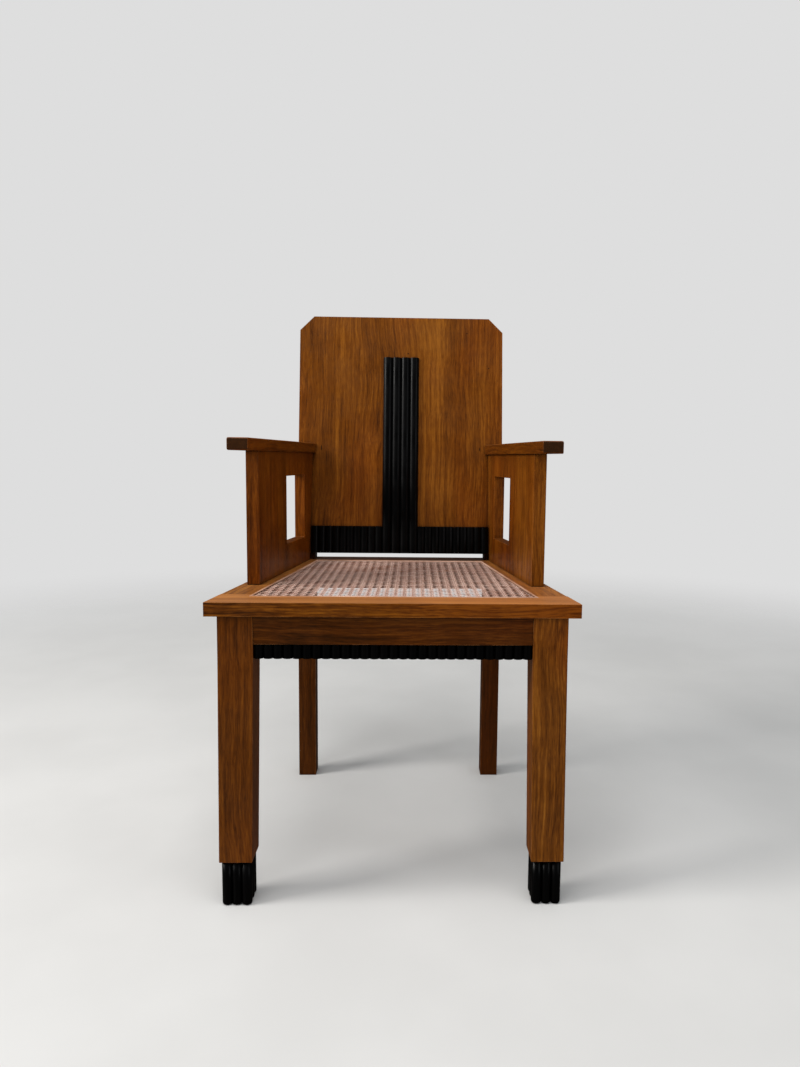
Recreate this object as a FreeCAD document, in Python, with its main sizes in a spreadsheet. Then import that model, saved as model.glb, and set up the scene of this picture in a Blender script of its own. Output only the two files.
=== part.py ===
import FreeCAD, Part
import math
import os
import re

import Sketcher

# Armchair with ebonised reeding and an inset cane seat, in millimetres.
# Chair frame while building: x across, y from the front edge of the seat towards the back, z up.
# Every piece is placed half the depth forward of that, so the origin is under the middle.

doc = FreeCAD.newDocument("armchair")
sheet = doc.addObject("Spreadsheet::Sheet", "Sizes")

# Driving dimensions
SIZES = {
    # seat frame
    "seat_height": 450,
    "seat_board": 20,
    "seat_half_front": 265,
    "plan_taper": 7,
    "front_margin": 50,
    "side_margin": 46.5,
    "rear_margin": 19,
    "groove_width": 5,
    "groove_depth": 7,
    "ledge": 10,
    "cane_thick": 1.6,
    "cane_sink": 0.4,
    "spline_proud": 0.5,
    "cane_pitch": 30,
    "cane_hole": 17,
    "lip": 1.2,
    # front legs and feet
    "leg_overhang": 3,
    "seat_overhang": 17.5,
    "leg_width": 50,
    "leg_width_low": 48,
    "leg_splay": 4,
    "foot_height": 67,
    "foot_inset": 2.4,
    "foot_reed_radius": 7.5,
    "spigot_radius": 10,
    "spigot_length": 25,
    # rear legs
    "post_setback": 464,
    "post_inset": 4,
    "post_width": 34,
    "post_depth": 35,
    "recline": 8,
    # aprons
    "apron_height": 40.4,
    "apron_thick": 20,
    "apron_inset": 1,
    "rear_apron_thick": 18,
    "rear_apron_inset": 8,
    "side_apron_inset": 2,
    "tenon_thick": 9,
    "tenon_height": 26,
    "tenon_length": 22,
    "mortise_wall": 2.5,
    "fit": 0.1,
    # reeded moulding under the front apron
    "moulding_height": 20.6,
    "moulding_base": 14,
    "moulding_rise": 4.9,
    "moulding_reeds": 29,
    # arms
    "arm_setback": 147,
    "arm_inset": 10.8,
    "arm_board": 20,
    "arm_height": 211.5,
    "window_rear": 32.9,
    "window_length": 120,
    "window_sill": 49,
    "window_height": 120,
    "rest_thick": 19,
    "rest_overhang": 6,
    "rest_reach": 64,
    # back
    "back_board": 12,
    "back_gap": 13.5,
    "back_top": 935,
    "back_chamfer": 28,
    "post_below_chamfer": 3,
    "strip_top": 853,
    "strip_reeds": 4,
    "strip_pitch": 17.6,
    "strip_base": 3,
    "strip_rise": 5,
    "band_height": 53.5,
    "band_reeds": 10,
    "band_gap": 2.4,
    "band_base": 3,
    "band_rise": 3.6,
    # loose tenons
    "slip_length": 40,
    "slip_width": 30,
    "slip_reach": 14,
    "slip_wall": 4.5,
    "slip_margin": 45,
    "slip_level": 21,
    # corner blocks and screws
    "block_height": 30,
    "block_leg": 45,
    "front_screw_in": 16,
    "front_screw_back": 18,
    "rear_screw_in": 27,
    "rear_screw_front": 7,
    "screw_bite": 12,
    "back_screw_bite": 7,
    "back_screw_low": 100,
    "back_screw_high": 70,
    "screw_radius": 2,
    "screw_head_radius": 4,
    "screw_head_height": 3,
}

# Sizes worked out from the driving dimensions
DERIVED = {
    "slope": "tan(plan_taper)",
    "lean": "tan(recline)",
    "leg_top": "seat_height - seat_board",
    "leg_half_out": "seat_half_front - seat_overhang",
    "leg_half_in": "leg_half_out - leg_width",
    "leg_back": "leg_overhang + leg_width",
    "leg_low_in": "leg_half_in + leg_splay + (leg_width - leg_width_low) / 2",
    "leg_low_front": "leg_overhang + (leg_width - leg_width_low) / 2",
    "foot_centre": "leg_low_in + leg_width_low / 2",
    "foot_middle": "leg_overhang + leg_width / 2",
    "foot_pitch": "leg_width_low / 2 - foot_inset - foot_reed_radius",
    "apron_bottom": "leg_top - apron_height",
    "moulding_bottom": "apron_bottom - moulding_height",
    "apron_front": "leg_overhang + apron_inset",
    "post_half_out": "seat_half_front - slope * post_setback - post_inset",
    "post_half_in": "post_half_out - post_width",
    "post_back": "post_setback + post_depth",
    "post_top": "back_top - back_chamfer - post_below_chamfer",
    "post_bend_back": "seat_height + post_depth * (1 - 1 / cos(recline)) / lean",
    "post_top_front": "post_setback + (post_top - seat_height) * lean",
    "overall_depth": "post_top_front + post_depth / cos(recline)",
    "cane_front": "front_margin + groove_width",
    "groove_end": "post_setback - rear_margin",
    "cane_rear": "groove_end - groove_width",
    "cane_sheet_top": "seat_height - cane_sink",
    "ledge_top": "cane_sheet_top - cane_thick",
    "groove_floor": "seat_height - groove_depth",
    "arm_top": "seat_height + arm_height",
    "back_front": "post_setback - back_board / cos(recline)",
    "arm_width": "arm_board / cos(plan_taper)",
    "arm_half_in": "seat_half_front - slope * arm_setback - arm_inset - arm_width",
    "arm_half_rear": "arm_half_in - slope * (back_front - arm_setback)",
    "strip_half": "strip_reeds * strip_pitch / 2",
    "band_pitch": "(arm_half_rear - band_gap - strip_half) / band_reeds",
    "side_apron_front": "leg_half_out - side_apron_inset",
    "side_apron_rear": "post_half_out - side_apron_inset",
    "moulding_pitch": "2 * leg_half_in / moulding_reeds",
    "board_foot": "back_gap / cos(recline)",
    "board_head": "(back_top - seat_height) / cos(recline)",
    "rail_inner": "side_margin + groove_width + ledge",
    "front_rail_back": "cane_front + ledge",
    "rear_rail_front": "cane_rear - ledge",
    "rear_apron_front": "post_setback + rear_apron_inset",
    "rear_slip": "2 * (rear_apron_inset + (rear_apron_thick - tenon_thick) / 2 - mortise_wall)",
}

row = 0
for alias, number in SIZES.items():
    row += 1
    sheet.set("A%d" % row, alias)
    sheet.set("B%d" % row, str(number))
    sheet.setAlias("B%d" % row, alias)
for alias, formula in DERIVED.items():
    row += 1
    sheet.set("A%d" % row, alias)
    sheet.set("B%d" % row, "=" + formula)
    sheet.setAlias("B%d" % row, alias)
doc.recompute()

WORDS = sorted(list(SIZES) + list(DERIVED), key=len, reverse=True)
ALIAS = re.compile(r"\b(" + "|".join(WORDS) + r")\b")


def val(name):
    """Number held by one cell."""
    return float(sheet.get(name))


def ex(text):
    """Expression with every alias pointed at the sheet."""
    return ALIAS.sub(r"Sizes.\1", text)


def worth(text):
    """Number that an expression gives."""
    return float(sheet.evalExpression(ex(text)))


def plane(body, role):
    return [f for f in body.Origin.OriginFeatures if f.Role == role][0]


def sketch(body, name, role, lift=0.0):
    """Empty sketch on one of the body's own origin planes."""
    new = body.newObject("Sketcher::SketchObject", name)
    new.AttachmentSupport = [(plane(body, role), "")]
    new.MapMode = "FlatFace"
    new.AttachmentOffset = FreeCAD.Placement(FreeCAD.Vector(0, 0, lift), FreeCAD.Rotation())
    return new


def outline(new, points):
    """Closed polygon whose corners are bound to pairs of expressions."""
    number = len(points)
    first = new.GeometryCount
    guess = []
    for px, py in points:
        guess.append(FreeCAD.Vector(worth(px), worth(py), 0))
    for i in range(number):
        new.addGeometry(Part.LineSegment(guess[i], guess[(i + 1) % number]), False)
    for i in range(number):
        follow = first + (i + 1) % number
        new.addConstraint(Sketcher.Constraint("Coincident", first + i, 2, follow, 1))
    for i, (px, py) in enumerate(points):
        for kind, text, start in (("DistanceX", px, guess[i].x), ("DistanceY", py, guess[i].y)):
            index = new.addConstraint(Sketcher.Constraint(kind, -1, 1, first + i, 1, start))
            new.setExpression("Constraints[%d]" % index, ex(text))
    return new


def circle(new, cx, cy, radius):
    """Circle whose centre and radius are bound to expressions."""
    new.addGeometry(Part.Circle(FreeCAD.Vector(1, 1, 0), FreeCAD.Vector(0, 0, 1), 1), False)
    for kind, text in (("DistanceX", cx), ("DistanceY", cy)):
        index = new.addConstraint(Sketcher.Constraint(kind, -1, 1, 0, 3, 1.0))
        new.setExpression("Constraints[%d]" % index, ex(text))
    index = new.addConstraint(Sketcher.Constraint("Radius", 0, 1.0))
    new.setExpression("Constraints[%d]" % index, ex(radius))
    return new


def pad(body, name, profile, length, midplane=False, flip=False):
    feature = body.newObject("PartDesign::Pad", name)
    feature.Profile = profile
    feature.setExpression("Length", ex(length))
    feature.Midplane = midplane
    feature.Reversed = flip
    profile.Visibility = False
    return feature


def new_body(name, in_chair_frame=True):
    body = doc.addObject("PartDesign::Body", name)
    body.Label = name
    if in_chair_frame:
        body.setExpression("Placement.Base.y", ex("-overall_depth / 2"))
    return body


def plan_body(name, points, bottom, height):
    """Board drawn in plan and padded upwards."""
    body = new_body(name)
    shape = outline(sketch(body, name + "_plan", "XY_Plane"), points)
    pad(body, name + "_pad", shape, height)
    body.setExpression("Placement.Base.z", ex(bottom))
    return body


def sided(points, side):
    """Right-hand points, or their mirror image for the left."""
    if side > 0:
        return points
    return [("-(" + px + ")", py) for px, py in points]


def box(name, length, width, height, place):
    """Plain block, centred in x and y on its placement."""
    new = doc.addObject("Part::Box", name)
    new.setExpression("Length", ex(length))
    new.setExpression("Width", ex(width))
    new.setExpression("Height", ex(height))
    corner = FreeCAD.Vector(-worth(length) / 2, -worth(width) / 2, 0)
    centre = FreeCAD.Placement(corner, FreeCAD.Rotation())
    new.Placement = place.multiply(centre)
    return new


def rod(name, radius, length, start, direction):
    """Cylinder from a start point along a direction."""
    new = doc.addObject("Part::Cylinder", name)
    new.setExpression("Radius", ex(radius))
    new.setExpression("Height", ex(length))
    turn = FreeCAD.Rotation(FreeCAD.Vector(0, 0, 1), direction)
    new.Placement = FreeCAD.Placement(start, turn)
    return new


def cut(base, tools, name):
    """Base with all the tools taken away."""
    if len(tools) > 1:
        tool = doc.addObject("Part::Compound", name + "_tools")
        tool.Links = tools
    else:
        tool = tools[0]
    base.Label = name + "_blank"
    new = doc.addObject("Part::Cut", name + "_cut")
    new.Base = base
    new.Tool = tool
    new.Label = name
    return new


def group(name, members):
    new = doc.addObject("Part::Compound", name)
    new.Links = members
    new.Label = name
    return new


def at(x, y, z):
    """Point of the chair frame, moved so that the origin is under the middle."""
    return FreeCAD.Vector(x, y - val("overall_depth") / 2, z)


def placed(x, y, z, axis=(0, 0, 1), degrees=0.0):
    return FreeCAD.Placement(at(x, y, z), FreeCAD.Rotation(FreeCAD.Vector(*axis), degrees))


SIDES = (("left", -1), ("right", 1))
UP = FreeCAD.Vector(0, 0, 1)
BACKWARD = FreeCAD.Vector(0, 1, 0)
SIDEWAYS = FreeCAD.Vector(1, 0, 0)
nodes = []

# Lines of the back: a frame that leans with the back board, its origin on the board's front
lean_turn = FreeCAD.Rotation(FreeCAD.Vector(1, 0, 0), -val("recline"))
lean_frame = FreeCAD.Placement(at(0, val("back_front"), val("seat_height")), lean_turn)
into_back = lean_turn.multVec(BACKWARD)
along_back = lean_turn.multVec(UP)


def on_back(x, depth, up):
    """Point by its place on the leaning board: across, into the board, up the slope."""
    return lean_frame.multVec(FreeCAD.Vector(x, depth, up))


def slope_height(level):
    """Length up the leaning front for a level above the floor."""
    return (level - val("seat_height")) / math.cos(math.radians(val("recline")))


# Loose tenons, each one written once and used for the piece and for both its mortises
slips = {}


def slip(family, middle, along, wide, length, width):
    """Flat tenon: its middle, the way it is driven, its wide direction, length and width."""
    item = (middle, FreeCAD.Vector(along), FreeCAD.Vector(wide), length, width)
    slips.setdefault(family, []).append(item)


def slip_block(name, item, extra):
    """Block of one loose tenon, or with extra its mortise."""
    middle, along, wide, length, width = item
    turn = FreeCAD.Rotation(along, wide, along.cross(wide), "XYZ")
    block = doc.addObject("Part::Box", name)
    block.Length = length + 2 * extra
    block.Width = width + 2 * extra
    block.Height = val("tenon_thick") + 2 * extra
    corner = FreeCAD.Vector(block.Length.Value, block.Width.Value, block.Height.Value) / -2
    block.Placement = FreeCAD.Placement(middle + turn.multVec(corner), turn)
    return block


def mortises(family, picked):
    return [slip_block(family + "_mortise", slips[family][i], val("fit")) for i in picked]


def slip_group(family):
    return group(family, [slip_block(family + "_one", item, 0.0) for item in slips[family]])


screws = {}


def screw(family, head, direction, length):
    """Wood screw whose flat head lies at the start point."""
    screws.setdefault(family, []).append((head, FreeCAD.Vector(direction).normalize(), length))


def screw_solid(name, head, unit, length, extra):
    turn = FreeCAD.Rotation(UP, unit)
    cone = doc.addObject("Part::Cone", name + "_head")
    cone.Radius1 = val("screw_head_radius") + extra
    cone.Radius2 = val("screw_radius") + extra
    cone.Height = val("screw_head_height")
    cone.Placement = FreeCAD.Placement(head, turn)
    shank = doc.addObject("Part::Cylinder", name + "_shank")
    shank.Radius = val("screw_radius") + extra
    shank.Height = length + extra
    shank.Placement = FreeCAD.Placement(head, turn)
    both = doc.addObject("Part::Fuse", name)
    both.Base = cone
    both.Tool = shank
    return both


def screw_holes(family, picked=None):
    new = []
    for i, (head, unit, length) in enumerate(screws[family]):
        if picked is None or i in picked:
            new.append(screw_solid(family + "_hole", head, unit, length, val("fit")))
    return new


def screw_group(family):
    new = []
    for head, unit, length in screws[family]:
        new.append(screw_solid(family + "_one", head, unit, length, 0.0))
    return group(family, new)


# Places of the loose tenons
apron_mid = (val("apron_bottom") + val("leg_top")) / 2
side_mid = val("apron_thick") / 2
for name, side in SIDES:
    front_x = side * (val("side_apron_front") - side_mid)
    rear_x = side * (val("side_apron_rear") - side_mid)
    for x, y, long in ((front_x, val("leg_back"), val("slip_length")),
                       (rear_x, val("post_setback"), val("rear_slip"))):
        slip("side_apron_tenons", at(x, y, apron_mid), BACKWARD, UP, long, val("tenon_height"))


def rail_edge(y, inwards):
    """Half-width of a line parallel to the tapering side of the seat."""
    return val("seat_half_front") - inwards - val("slope") * y


board_mid = val("seat_height") - val("seat_board") / 2
for name, side in SIDES:
    x = side * rail_edge(val("front_rail_back"), val("side_margin") / 2)
    slip("seat_frame_tenons", at(x, val("front_rail_back"), board_mid), BACKWARD, SIDEWAYS,
         val("slip_length"), val("slip_width"))
    wing = rail_edge(val("post_setback"), val("rail_inner"))
    x = side * (wing + val("post_half_in")) / 2
    slip("seat_frame_tenons", at(x, val("post_setback"), board_mid), BACKWARD, SIDEWAYS,
         2 * val("slip_reach"), val("post_half_in") - wing - 2 * val("slip_wall"))


def arm_mid(y):
    """Half-width of the middle of the arm board at a distance from the front."""
    return val("arm_half_in") + val("arm_board") / 2 - val("slope") * (y - val("arm_setback"))


for name, side in SIDES:
    along_arm = FreeCAD.Vector(-side * val("slope"), 1, 0).normalize()
    for y in (val("arm_setback") + val("slip_margin"), val("back_front") - val("slip_margin")):
        for family, level in (("arm_foot_tenons", "seat_height"), ("armrest_tenons", "arm_top")):
            slip(family, at(side * arm_mid(y), y, val(level)), UP, along_arm,
                 2 * val("slip_reach"), val("slip_width"))
    for level in (val("slip_level"), val("arm_height") - val("slip_level")):
        y = val("back_front") + level * val("lean")
        up = slope_height(val("seat_height") + level)
        slip("arm_back_tenons", on_back(side * arm_mid(y), val("back_board") / 2, up),
             into_back, along_back, val("slip_length"), val("slip_width"))

# Places of the screws
block_low = val("leg_top") - val("block_height")
block_screw = val("block_height") + val("screw_bite")
apron_back = val("apron_front") + val("apron_thick")
for name, side in SIDES:
    x = side * (val("leg_half_in") - val("front_screw_in"))
    screw("seat_screws", at(x, apron_back + val("front_screw_back"), block_low), UP, block_screw)
    x = side * (val("post_half_in") - val("rear_screw_in"))
    y = val("rear_apron_front") - val("rear_screw_front")
    screw("seat_screws", at(x, y, block_low), UP, block_screw)
back_screw = val("post_depth") + val("back_screw_bite")
for name, side in SIDES:
    for level in (val("seat_height") + val("back_screw_low"),
                  val("post_top") - val("back_screw_high")):
        x = side * (val("post_half_out") - val("post_width") / 2)
        head = on_back(x, val("back_board") + val("post_depth"), slope_height(level))
        screw("back_screws", head, into_back * -1, back_screw)

# Front legs: a straight block at the aprons, then a slight taper, drilled for the foot
for index, (name, side) in enumerate(SIDES):
    label = "front_leg_" + name
    body = new_body(label)
    top = sided(
        [
            ("leg_half_in", "leg_overhang"),
            ("leg_half_out", "leg_overhang"),
            ("leg_half_out", "leg_back"),
            ("leg_half_in", "leg_back"),
        ],
        side,
    )
    low = sided(
        [
            ("leg_low_in", "leg_low_front"),
            ("leg_low_in + leg_width_low", "leg_low_front"),
            ("leg_low_in + leg_width_low", "leg_low_front + leg_width_low"),
            ("leg_low_in", "leg_low_front + leg_width_low"),
        ],
        side,
    )
    foot_end = outline(sketch(body, label + "_low", "XY_Plane"), low)
    foot_end.setExpression("AttachmentOffset.Base.z", ex("foot_height"))
    shoulder = outline(sketch(body, label + "_high", "XY_Plane"), top)
    shoulder.setExpression("AttachmentOffset.Base.z", ex("moulding_bottom"))
    taper = body.newObject("PartDesign::AdditiveLoft", label + "_taper")
    taper.Profile = foot_end
    taper.Sections = [shoulder]
    taper.Ruled = True
    block = outline(sketch(body, label + "_block", "XY_Plane"), top)
    block.setExpression("AttachmentOffset.Base.z", ex("moulding_bottom"))
    pad(body, label + "_joint", block, "leg_top - moulding_bottom")
    foot_x = side * val("foot_centre")
    tools = [
        rod(label + "_bore", "spigot_radius + fit", "spigot_length + 1",
            at(foot_x, val("foot_middle"), val("foot_height")), UP),
        box(label + "_mortise", "2 * tenon_length + 2 * fit", "tenon_thick + 2 * fit",
            "tenon_height + 2 * fit",
            placed(side * val("leg_half_in"), val("apron_front") + val("apron_thick") / 2,
                   apron_mid - val("tenon_height") / 2 - val("fit"))),
    ]
    tools += mortises("side_apron_tenons", [2 * index])
    nodes.append(cut(body, tools, label))


def bundle_profile(new, pitch, radius):
    """Outline of three by three round reeds: arcs that meet in the flutes, side by side."""
    half = pitch / 2
    flute = pitch + math.sqrt(radius ** 2 - half ** 2)
    crown = pitch + radius
    corner = pitch + radius * math.sqrt(0.5)
    middle_reed = ((-half, flute), (0, crown), (half, flute))
    corner_reed = ((half, flute), (corner, corner), (flute, half))
    for quarter in range(4):
        turn = FreeCAD.Rotation(UP, -90 * quarter)
        for reed in (middle_reed, corner_reed):
            ends = [turn.multVec(FreeCAD.Vector(x, y, 0)) for x, y in reed]
            new.addGeometry(Part.Arc(*ends), False)
    return new


# Feet: a bundle of three by three reeds with a round spigot
for name, side in SIDES:
    label = "front_foot_" + name
    body = new_body(label, in_chair_frame=False)
    section = bundle_profile(
        sketch(body, label + "_section", "XY_Plane"), val("foot_pitch"), val("foot_reed_radius")
    )
    pad(body, label + "_reeds", section, "foot_height")
    spigot = circle(sketch(body, label + "_spigot", "XY_Plane"), "0", "0", "spigot_radius")
    spigot.setExpression("AttachmentOffset.Base.z", ex("foot_height"))
    pad(body, label + "_spigot_pad", spigot, "spigot_length")
    body.Placement = placed(side * val("foot_centre"), val("foot_middle"), 0)
    nodes.append(body)

# Rear legs, one piece from the floor to the top, bent back at the seat
for index, (name, side) in enumerate(SIDES):
    label = "rear_leg_" + name
    body = new_body(label)
    profile = outline(
        sketch(body, label + "_side", "YZ_Plane"),
        [
            ("post_setback", "0"),
            ("post_back", "0"),
            ("post_back", "post_bend_back"),
            ("overall_depth", "post_top"),
            ("post_top_front", "post_top"),
            ("post_setback", "seat_height"),
        ],
    )
    start = "post_half_in" if side > 0 else "-post_half_out"
    profile.setExpression("AttachmentOffset.Base.z", ex(start))
    pad(body, label + "_pad", profile, "post_width")
    tools = [
        box(label + "_mortise", "2 * tenon_length + 2 * fit", "tenon_thick + 2 * fit",
            "tenon_height + 2 * fit",
            placed(side * val("post_half_in"),
                   val("rear_apron_front") + val("rear_apron_thick") / 2,
                   apron_mid - val("tenon_height") / 2 - val("fit"))),
    ]
    tools += mortises("side_apron_tenons", [2 * index + 1])
    tools += mortises("arm_back_tenons", [2 * index, 2 * index + 1])
    tools += screw_holes("back_screws", [2 * index, 2 * index + 1])
    nodes.append(cut(body, tools, label))


def tenoned_rail(label, half, front, thick):
    """Rail across the chair with a tenon on each end."""
    back = front + " + " + thick
    wide = [("-" + half, front), (half, front), (half, back), ("-" + half, back)]
    body = plan_body(label, wide, "0", "apron_height")
    body.Group[0].setExpression("AttachmentOffset.Base.z", ex("apron_bottom"))
    reach = half + " + tenon_length"
    low = front + " + " + thick + " / 2 - tenon_thick / 2"
    high = low + " + tenon_thick"
    tongue = outline(
        sketch(body, label + "_tongue", "XY_Plane"),
        [("-(" + reach + ")", low), (reach, low), (reach, high), ("-(" + reach + ")", high)],
    )
    middle = "apron_bottom + apron_height / 2 - tenon_height / 2"
    tongue.setExpression("AttachmentOffset.Base.z", ex(middle))
    pad(body, label + "_tenons", tongue, "tenon_height")
    nodes.append(body)


tenoned_rail("front_apron", "leg_half_in", "apron_front", "apron_thick")
tenoned_rail("rear_apron", "post_half_in", "rear_apron_front", "rear_apron_thick")

# Side aprons, running in towards the back
for index, (name, side) in enumerate(SIDES):
    label = "side_apron_" + name
    corners = sided(
        [
            ("side_apron_front - apron_thick", "leg_back"),
            ("side_apron_front", "leg_back"),
            ("side_apron_rear", "post_setback"),
            ("side_apron_rear - apron_thick", "post_setback"),
        ],
        side,
    )
    body = plan_body(label, corners, "apron_bottom", "apron_height")
    nodes.append(cut(body, mortises("side_apron_tenons", [2 * index, 2 * index + 1]), label))


def reeded_strip(label, start, count, step, base, rise, foot, length, place):
    """Flat strip with a row of convex reeds along it, its back on the y = 0 plane of its place."""
    body = new_body(label, in_chair_frame=False)
    new = sketch(body, label + "_section", "XY_Plane")
    end = start + count * step
    for i in range(count):
        left = FreeCAD.Vector(start + i * step, -base, 0)
        crest = FreeCAD.Vector(start + (i + 0.5) * step, -base - rise, 0)
        right = FreeCAD.Vector(start + (i + 1) * step, -base, 0)
        new.addGeometry(Part.Arc(left, crest, right), False)
    corners = [(end, -base), (end, 0), (start, 0), (start, -base)]
    spots = [FreeCAD.Vector(x, y, 0) for x, y in corners]
    for i in range(3):
        new.addGeometry(Part.LineSegment(spots[i], spots[i + 1]), False)
    new.setExpression("AttachmentOffset.Base.z", ex(foot))
    pad(body, label + "_pad", new, length)
    body.Placement = place
    nodes.append(body)


# Reeded moulding under the front apron
moulding_back = val("apron_front") + val("moulding_base") + val("moulding_rise")
reeded_strip("apron_reeding", -val("leg_half_in"), int(val("moulding_reeds")),
             val("moulding_pitch"), val("moulding_base"), val("moulding_rise"),
             "moulding_bottom", "moulding_height", placed(0, moulding_back, 0))


def edge(y, inwards):
    """Expression for the half-width of a line parallel to the side of the seat."""
    return "seat_half_front - slope * (" + y + ") - (" + inwards + ")"


def ring_corners(front, rear, inwards):
    """Corners of a plan outline that tapers with the seat."""
    return [
        ("-(" + edge(front, inwards) + ")", front),
        (edge(front, inwards), front),
        (edge(rear, inwards), rear),
        ("-(" + edge(rear, inwards) + ")", rear),
    ]


def ring_body(name, outer, inner, bottom, height):
    """Frame-shaped solid between two plan outlines."""
    body = new_body(name)
    both = outline(sketch(body, name + "_plan", "XY_Plane"), outer)
    outline(both, inner)
    pad(body, name + "_pad", both, height)
    body.setExpression("Placement.Base.z", ex(bottom))
    return body


groove_outer = ring_corners("front_margin", "groove_end", "side_margin")
groove_inner = ring_corners("cane_front", "cane_rear", "side_margin + groove_width")
lip_outer = ring_corners("cane_front - lip", "cane_rear + lip", "side_margin + groove_width - lip")
rebate = plan_body("cane_rebate", groove_outer, "ledge_top", "seat_board")
groove = ring_body("cane_groove", groove_outer, groove_inner, "groove_floor", "seat_board")

# Seat frame: four boards round the opening, rebated and grooved for the cane
front_rail = plan_body(
    "seat_front_rail", ring_corners("0", "front_rail_back", "0"), "leg_top", "seat_board"
)
tools = [rebate, groove]
tools += mortises("seat_frame_tenons", [0, 2])
tools += screw_holes("seat_screws", [0, 2])
nodes.append(cut(front_rail, tools, "seat_front_rail"))

for index, (name, side) in enumerate(SIDES):
    label = "seat_side_rail_" + name
    corners = sided(
        [
            (edge("front_rail_back", "rail_inner"), "front_rail_back"),
            (edge("front_rail_back", "0"), "front_rail_back"),
            (edge("post_setback", "0"), "post_setback"),
            (edge("post_setback", "rail_inner"), "post_setback"),
        ],
        side,
    )
    body = plan_body(label, corners, "leg_top", "seat_board")
    tools = [rebate, groove]
    tools += mortises("seat_frame_tenons", [2 * index, 2 * index + 1])
    tools += mortises("arm_foot_tenons", [2 * index, 2 * index + 1])
    nodes.append(cut(body, tools, label))

rear_inner = edge("rear_rail_front", "rail_inner")
rear_outer = edge("post_setback", "rail_inner")
rear_rail = plan_body(
    "seat_rear_rail",
    [
        ("-(" + rear_inner + ")", "rear_rail_front"),
        (rear_inner, "rear_rail_front"),
        (rear_outer, "post_setback"),
        ("post_half_in", "post_setback"),
        ("post_half_in", "post_back"),
        ("-post_half_in", "post_back"),
        ("-post_half_in", "post_setback"),
        ("-(" + rear_outer + ")", "post_setback"),
    ],
    "leg_top",
    "seat_board",
)
tools = [rebate, groove]
tools += mortises("seat_frame_tenons", [1, 3])
tools += screw_holes("seat_screws", [1, 3])
nodes.append(cut(rear_rail, tools, "seat_rear_rail"))

# Corner blocks, notched round the legs and screwed up into the seat frame
for index, (name, side) in enumerate(SIDES):
    inner_face = "side_apron_front - apron_thick"
    run_in = "(side_apron_front - side_apron_rear) / (post_setback - leg_back)"
    front_back = "apron_front + apron_thick"
    corners = sided(
        [
            ("leg_half_in - block_leg", front_back),
            ("leg_half_in", front_back),
            ("leg_half_in", "leg_back"),
            (inner_face, "leg_back"),
            (inner_face + " - block_leg * " + run_in, "leg_back + block_leg"),
        ],
        side,
    )
    label = "corner_block_front_" + name
    body = plan_body(label, corners, "leg_top - block_height", "block_height")
    nodes.append(cut(body, screw_holes("seat_screws", [2 * index]), label))
    rear_face = "side_apron_rear - apron_thick"
    corners = sided(
        [
            (rear_face + " + block_leg * " + run_in, "post_setback - block_leg"),
            (rear_face, "post_setback"),
            ("post_half_in", "post_setback"),
            ("post_half_in", "rear_apron_front"),
            ("post_half_in - block_leg", "rear_apron_front"),
        ],
        side,
    )
    label = "corner_block_rear_" + name
    body = plan_body(label, corners, "leg_top - block_height", "block_height")
    nodes.append(cut(body, screw_holes("seat_screws", [2 * index + 1]), label))

# Cane: one holed sheet on the ledge, with a lip pressed down into the groove
pitch = val("cane_pitch")
hole = val("cane_hole") / 2
corner = hole * math.tan(math.radians(22.5))
OCTAGON = [(hole, -corner), (hole, corner), (corner, hole), (-corner, hole),
           (-hole, corner), (-hole, -corner), (-corner, -hole), (corner, -hole)]
sheet_outline = []
for y, sign in (("front", -1), ("front", 1), ("rear", 1), ("rear", -1)):
    level = val("cane_front") if y == "front" else val("cane_rear")
    half = rail_edge(level, val("side_margin") + val("groove_width"))
    sheet_outline.append(at(sign * half, level, val("ledge_top")))
wires = [Part.makePolygon(sheet_outline + sheet_outline[:1])]
rows = int((val("rear_rail_front") - val("front_rail_back")) / pitch)
first_row = (val("rear_rail_front") + val("front_rail_back") - (rows - 1) * pitch) / 2
for i in range(rows):
    y = first_row + i * pitch
    reach = rail_edge(y + hole, val("rail_inner")) - hole
    columns = int(reach / pitch)
    for j in range(-columns, columns + 1):
        ring = [at(j * pitch + dx, y + dy, val("ledge_top")) for dx, dy in OCTAGON]
        wires.append(Part.makePolygon(ring + ring[:1]))
net_face = Part.makeFace(wires, "Part::FaceMakerBullseye")
net = doc.addObject("Part::Feature", "cane_net")
net.Shape = net_face.extrude(FreeCAD.Vector(0, 0, val("cane_thick")))
lip_ring = ring_body("cane_lip", lip_outer, groove_inner, "groove_floor + fit",
                     "cane_sheet_top - groove_floor - fit")
cane = doc.addObject("Part::Fuse", "cane_fused")
cane.Base = net
cane.Tool = lip_ring
cane.Label = "cane_panel"
nodes.append(cane)

# Splines that hold the cane: four strips, mitred at the corners
near = "(fit + lip)"
strip_in = ring_corners("cane_front - " + near, "cane_rear + " + near,
                        "side_margin + groove_width - (" + near + ")")
strip_out = ring_corners("front_margin + fit", "groove_end - fit", "side_margin + fit")
strips = []
for i in range(4):
    j = (i + 1) % 4
    points = [strip_out[i], strip_out[j], strip_in[j], strip_in[i]]
    strips.append(plan_body("cane_spline_%d" % i, points, "groove_floor + fit",
                            "groove_depth + spline_proud - fit"))
nodes.append(group("cane_splines", strips))

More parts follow.
